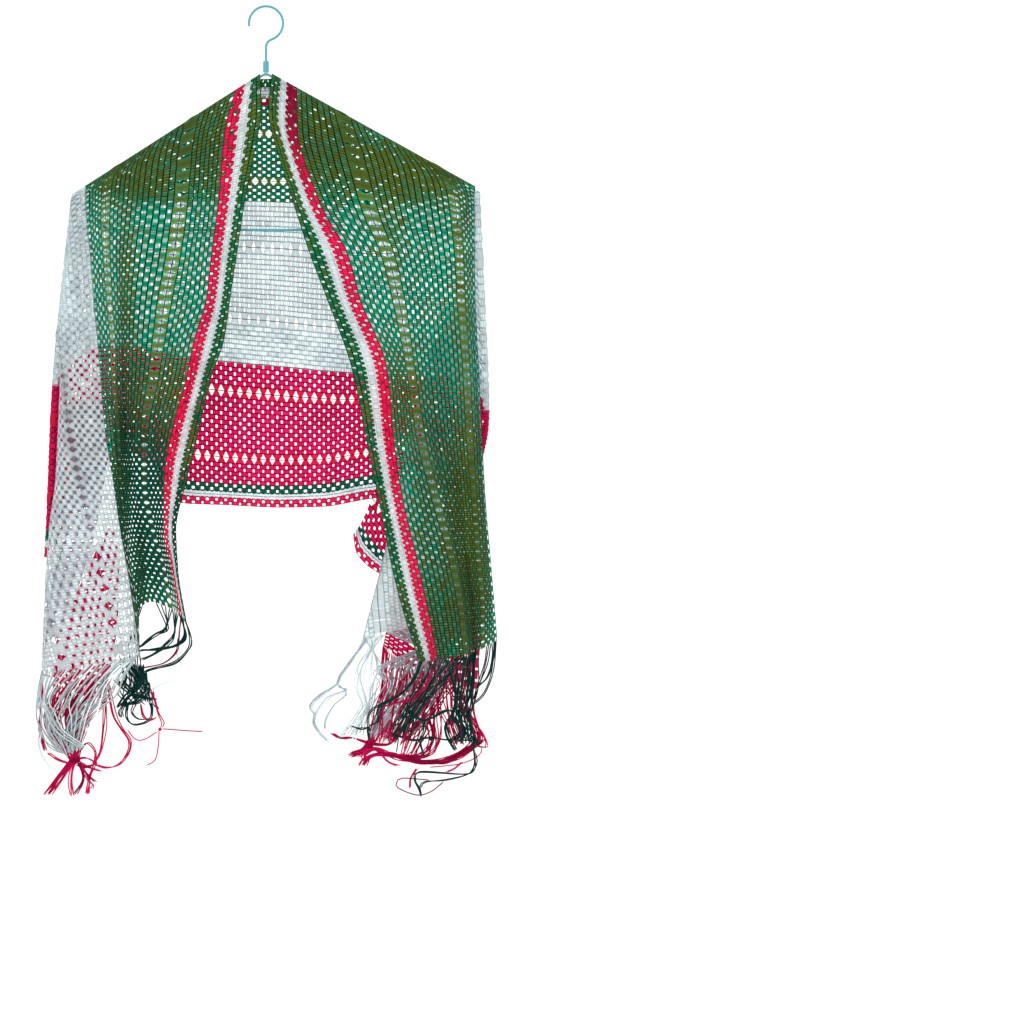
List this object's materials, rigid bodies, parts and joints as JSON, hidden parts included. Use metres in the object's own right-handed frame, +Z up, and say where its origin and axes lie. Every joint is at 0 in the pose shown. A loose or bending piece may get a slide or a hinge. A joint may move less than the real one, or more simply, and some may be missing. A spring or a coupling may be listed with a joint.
{
  "type": "rebozo shawl on a wire hanger",
  "caption": "Openwork rebozo shawl in green, white and crimson bands with long knotted fringe, hung over a coated wire clothes hanger.",
  "frame": {"origin": "inner top of the hanger's hook, where it sits on a rail", "axes": "+Z up, front of the shawl towards -Y, +X to the viewer's right"},
  "size_m": [0.5518, 0.087, 0.95],
  "materials": {
    "green_yarn": "matte",
    "white_yarn": "matte",
    "crimson_yarn": "matte",
    "hanger_coating": "satin"
  },
  "bodies": {
    "root": {"left_front_border": "green_yarn", "left_front_green": "green_yarn", "left_front_white": "white_yarn", "left_inner_white": "white_yarn", "left_inner_crimson": "crimson_yarn", "right_front_border": "green_yarn", "right_front_green": "green_yarn", "right_inner_white": "white_yarn", "right_inner_crimson": "crimson_yarn", "right_corner_flap": "crimson_yarn", "back_neck_border": "green_yarn", "back_green": "green_yarn", "back_white": "white_yarn", "back_crimson": "crimson_yarn", "back_hem_border": "white_yarn", "left_fringe_green": "green_yarn", "left_fringe_white": "white_yarn", "left_fringe_crimson": "crimson_yarn", "right_fringe_green": "green_yarn", "right_fringe_white": "white_yarn", "right_fringe_crimson": "crimson_yarn", "hanger_frame": "hanger_coating", "hanger_collar": "hanger_coating", "hanger_hook": "hanger_coating"}
  },
  "joints": []
}
